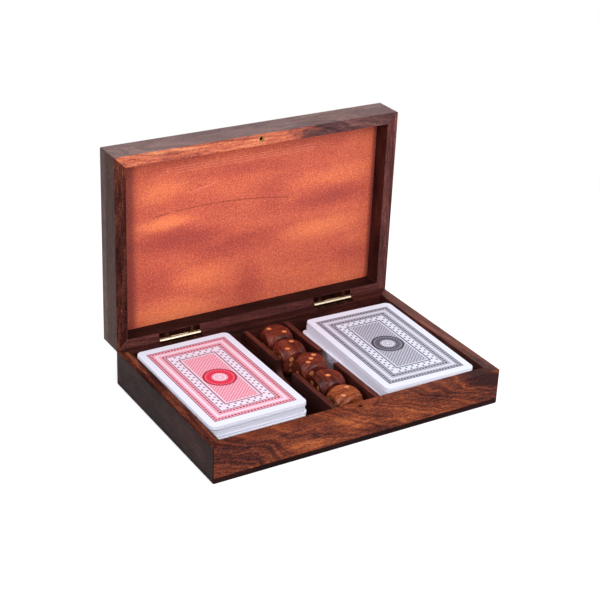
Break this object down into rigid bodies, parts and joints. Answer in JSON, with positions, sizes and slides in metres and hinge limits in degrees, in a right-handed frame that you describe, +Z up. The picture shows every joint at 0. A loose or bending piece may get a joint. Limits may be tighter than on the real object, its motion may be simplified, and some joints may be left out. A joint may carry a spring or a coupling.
{
  "type": "hinged playing card and dice box",
  "caption": "Flat rosewood box with mitred walls and a brass-hinged lid standing open, with compartments for packs of cards on both sides of a channel for dice.",
  "frame": {"origin": "middle of the underside of the base", "axes": "+Z up, +X along the long side, front towards -Y, hinged lid at +Y, standing open at a right angle"},
  "size_m": [0.1782, 0.1319, 0.1345],
  "materials": {
    "rosewood": "oiled and waxed, satin",
    "dark_rosewood": "oiled and waxed, satin, almost black",
    "lid_lining": "orange-red stained veneer, satin",
    "hinge_brass": "bright rolled brass",
    "screw_brass": "bright brass",
    "magnet": "brass plated, worn",
    "card_stock": "coated card, white edges",
    "red_card_back": "coated card, red line pattern on white",
    "black_card_back": "coated card, black line pattern on white",
    "die_wood": "polished rosewood",
    "die_light_wood": "polished rosewood, lighter heart",
    "pip_brass": "filed flush"
  },
  "bodies": {
    "base": {"base_front_wall": "rosewood", "base_back_wall": "rosewood", "base_left_wall": "rosewood", "base_right_wall": "rosewood", "left_divider": "rosewood", "right_divider": "rosewood", "base_floor_board": "dark_rosewood", "base_catch_magnet": "magnet", "base_hinge_screws": "screw_brass", "left_hinge_base_leaf": "hinge_brass", "left_hinge_pin": "hinge_brass", "right_hinge_base_leaf": "hinge_brass", "right_hinge_pin": "hinge_brass"},
    "lid": {"lid_front_rail": "rosewood", "lid_back_rail": "rosewood", "lid_left_rail": "rosewood", "lid_right_rail": "rosewood", "lid_top_board": "rosewood", "lid_lining_board": "lid_lining", "lid_catch_magnet": "magnet", "lid_hinge_screws": "screw_brass", "left_hinge_lid_leaf": "hinge_brass", "right_hinge_lid_leaf": "hinge_brass"},
    "red_pack": {"red_deck_cards": "card_stock", "red_deck_top_card": "red_card_back"},
    "black_pack": {"black_deck_cards": "card_stock", "black_deck_top_card": "black_card_back"},
    "die_1_body": {"die_1": "die_light_wood", "die_1_pips": "pip_brass"},
    "die_2_body": {"die_2": "die_wood", "die_2_pips": "pip_brass"},
    "die_3_body": {"die_3": "die_wood", "die_3_pips": "pip_brass"},
    "die_4_body": {"die_4": "die_wood", "die_4_pips": "pip_brass"},
    "die_5_body": {"die_5": "die_wood", "die_5_pips": "pip_brass"}
  },
  "joints": [
    {"name": "lid_hinge", "type": "hinge", "parent": "base", "child": "lid", "pos_m": [0, 0.05605, 0.0212], "axis": [-1, 0, 0], "range_deg": [-90, 0]},
    {"name": "red_pack_lift", "type": "slide", "parent": "base", "child": "red_pack", "axis": [0, 0, 1], "range_m": [0, 0.06]},
    {"name": "black_pack_lift", "type": "slide", "parent": "base", "child": "black_pack", "axis": [0, 0, 1], "range_m": [0, 0.06]},
    {"name": "die_1_lift", "type": "slide", "parent": "base", "child": "die_1_body", "axis": [0, 0, 1], "range_m": [0, 0.06]},
    {"name": "die_2_lift", "type": "slide", "parent": "base", "child": "die_2_body", "axis": [0, 0, 1], "range_m": [0, 0.06]},
    {"name": "die_3_lift", "type": "slide", "parent": "base", "child": "die_3_body", "axis": [0, 0, 1], "range_m": [0, 0.06]},
    {"name": "die_4_lift", "type": "slide", "parent": "base", "child": "die_4_body", "axis": [0, 0, 1], "range_m": [0, 0.06]},
    {"name": "die_5_lift", "type": "slide", "parent": "base", "child": "die_5_body", "axis": [0, 0, 1], "range_m": [0, 0.06]}
  ]
}
